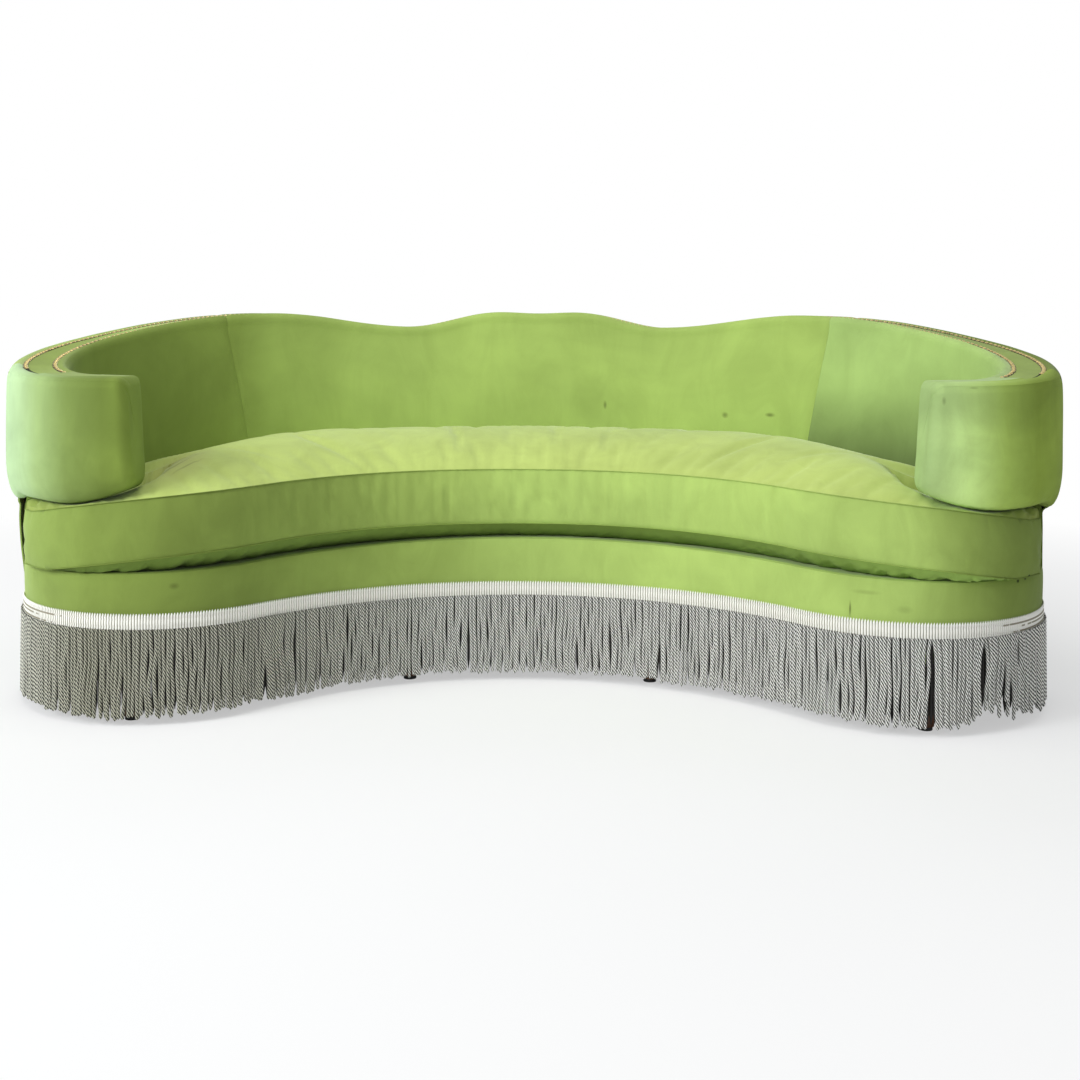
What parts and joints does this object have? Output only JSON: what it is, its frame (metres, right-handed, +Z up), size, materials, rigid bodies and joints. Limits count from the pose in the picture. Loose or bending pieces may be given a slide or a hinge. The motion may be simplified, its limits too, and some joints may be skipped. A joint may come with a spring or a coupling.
{
  "type": "sofa",
  "caption": "Crescent-shaped velvet sofa with a cloud-edged tub back, arms that wrap round the front corners, one loose boxed seat cushion and a deep bullion fringe.",
  "frame": {"origin": "On the floor under the middle of the whole sofa's bounding box.", "axes": "+X to the sofa's left side as its sitter has it, to the right in the picture; +Y to the back of the sofa; +Z up."},
  "size_m": [2.3852, 1.192, 0.874],
  "materials": {
    "velvet": "matt velvet pile",
    "frame_wood": "sawn hardwood and plywood",
    "leg_wood": "stained",
    "spring_steel": "bare wire",
    "burlap": "coarse weave",
    "wadding": "soft wadding",
    "webbing": "woven webbing",
    "foam": "open-cell foam",
    "nail_brass": "antiqued",
    "fringe_cream": "twisted cord",
    "dust_cloth": "thin nonwoven cloth",
    "glide_plastic": "matt",
    "zip_tape": "woven tape with coil",
    "zip_metal": "nickel-plated"
  },
  "bodies": {
    "frame_and_upholstery": {"front_rail": "frame_wood", "back_rail": "frame_wood", "side_rails": "frame_wood", "seat_stretchers": "frame_wood", "corner_blocks": "frame_wood", "sinuous_springs": "spring_steel", "spring_clips": "spring_steel", "deck_burlap": "burlap", "deck_pad": "wadding", "deck_cover": "velvet", "back_posts": "frame_wood", "arm_posts": "frame_wood", "lower_back_rail": "frame_wood", "crest_board": "frame_wood", "arm_front_boards": "frame_wood", "arm_front_blocks": "frame_wood", "back_webbing": "webbing", "back_foam": "foam", "left_arm_foam": "foam", "right_arm_foam": "foam", "inside_back_cover": "velvet", "left_inside_arm_cover": "velvet", "right_inside_arm_cover": "velvet", "outside_back_cover": "velvet", "left_outside_arm_cover": "velvet", "right_outside_arm_cover": "velvet", "outside_padding": "wadding", "left_arm_front_foam": "foam", "right_arm_front_foam": "foam", "left_arm_front_cover": "velvet", "right_arm_front_cover": "velvet", "crest_band": "velvet", "outer_nail_trim": "nail_brass", "inner_nail_trim": "nail_brass", "front_border_padding": "wadding", "front_border_cover": "velvet", "fringe_header": "fringe_cream", "fringe_cords": "fringe_cream", "dust_cover": "dust_cloth", "feet": "leg_wood", "foot_glides": "glide_plastic", "foot_plates": "spring_steel"},
    "seat_cushion": {"cushion_top_panel": "velvet", "cushion_bottom_panel": "velvet", "cushion_boxing": "velvet", "cushion_zip_strips": "velvet", "cushion_core": "foam", "cushion_zip": "zip_tape"},
    "zip_slider_body": {"zip_slider": "zip_metal"}
  },
  "joints": [
    {"name": "seat_cushion_slide", "type": "slide", "parent": "frame_and_upholstery", "child": "seat_cushion", "axis": [0, -1, 0], "range_m": [0, 0.15]},
    {"name": "cushion_zip_run", "type": "hinge", "parent": "seat_cushion", "child": "zip_slider_body", "pos_m": [0, -0.86075, 0.43], "axis": [0, 0, 1], "range_deg": [0, 76]}
  ]
}
